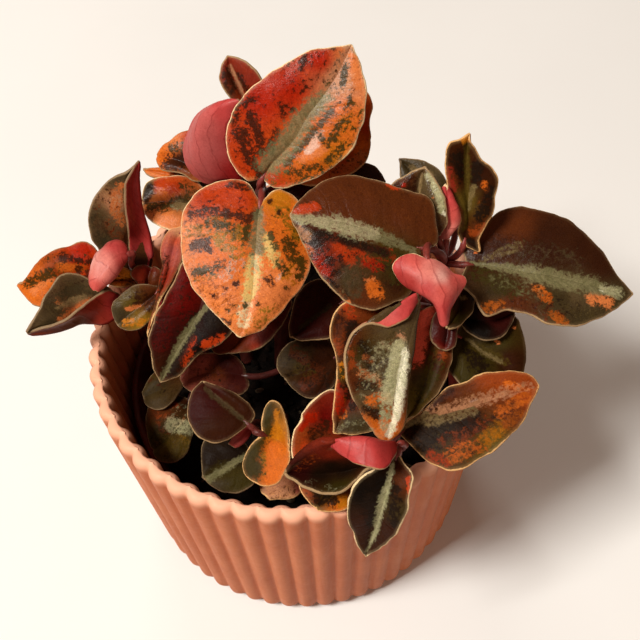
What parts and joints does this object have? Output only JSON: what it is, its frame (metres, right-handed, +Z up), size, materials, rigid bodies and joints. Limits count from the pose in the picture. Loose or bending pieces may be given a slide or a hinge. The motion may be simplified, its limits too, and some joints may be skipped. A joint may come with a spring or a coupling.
{
  "type": "potted peperomia",
  "caption": "Small bushy foliage plant with glossy mottled heart-shaped leaves on fleshy stems, growing in a thin pot set inside a round fluted cover pot.",
  "frame": {"origin": "centre of the cover pot's flat underside, on the surface it stands on", "axes": "+Z up along the pot's axis; +X to the right and -Y towards the viewer of the plant's front, where one leaf hangs over the rim"},
  "size_m": [0.1465, 0.1087, 0.1372],
  "materials": {
    "cover_pot": "satin",
    "growing_pot": "satin",
    "potting_mix": "matte",
    "stem": "satin",
    "leaf_red_orange": "gloss",
    "leaf_brown": "gloss",
    "leaf_dark": "gloss",
    "leaf_olive": "gloss",
    "leaf_silver": "gloss",
    "leaf_pink": "satin"
  },
  "bodies": {
    "root": {"cover_pot": "cover_pot", "growing_pot": "growing_pot", "potting_mix": "potting_mix", "stem_top": "stem", "stem_back_left": "stem", "stem_left": "stem", "stem_right": "stem", "stem_centre": "stem", "stem_front_right": "stem", "stem_front_left": "stem", "leaf_behind_1": "leaf_dark", "leaf_behind_2": "leaf_dark", "leaf_centre_1": "leaf_dark", "leaf_centre_2": "leaf_brown", "leaf_centre_3": "leaf_dark", "leaf_centre_4": "leaf_dark", "leaf_front_cupped": "leaf_dark", "leaf_front_low": "leaf_brown", "leaf_front_orange": "leaf_red_orange", "leaf_hanging_1": "leaf_silver", "leaf_hanging_2": "leaf_brown", "leaf_hanging_3": "leaf_brown", "leaf_heart_centre": "leaf_red_orange", "leaf_in_pot_1": "leaf_olive", "leaf_in_pot_2": "leaf_olive", "leaf_in_pot_3": "leaf_pink", "leaf_left_folded": "leaf_silver", "leaf_left_inner_1": "leaf_red_orange", "leaf_left_inner_2": "leaf_brown", "leaf_left_outer": "leaf_red_orange", "leaf_left_rolled": "leaf_pink", "leaf_left_round": "leaf_olive", "leaf_left_upright": "leaf_silver", "leaf_midleft_long": "leaf_brown", "leaf_midleft_narrow": "leaf_red_orange", "leaf_over_rim": "leaf_olive", "leaf_right_back_1": "leaf_silver", "leaf_right_back_2": "leaf_silver", "leaf_right_back_3": "leaf_pink", "leaf_right_broad": "leaf_brown", "leaf_right_inner_1": "leaf_olive", "leaf_right_inner_2": "leaf_dark", "leaf_right_low_cup": "leaf_dark", "leaf_right_low_round": "leaf_olive", "leaf_right_outer": "leaf_olive", "leaf_right_rolled": "leaf_pink", "leaf_right_upright": "leaf_olive", "leaf_rim_right": "leaf_silver", "leaf_small_cupped": "leaf_red_orange", "leaf_small_dark": "leaf_dark", "leaf_small_green": "leaf_olive", "leaf_small_rolled": "leaf_pink", "leaf_top_behind": "leaf_red_orange", "leaf_top_cupped": "leaf_pink", "leaf_top_low": "leaf_dark", "leaf_top_small": "leaf_brown", "leaf_top_tall": "leaf_red_orange", "leaf_upper_left_1": "leaf_brown", "leaf_upper_left_2": "leaf_red_orange", "leaf_upper_left_3": "leaf_red_orange"}
  },
  "joints": []
}
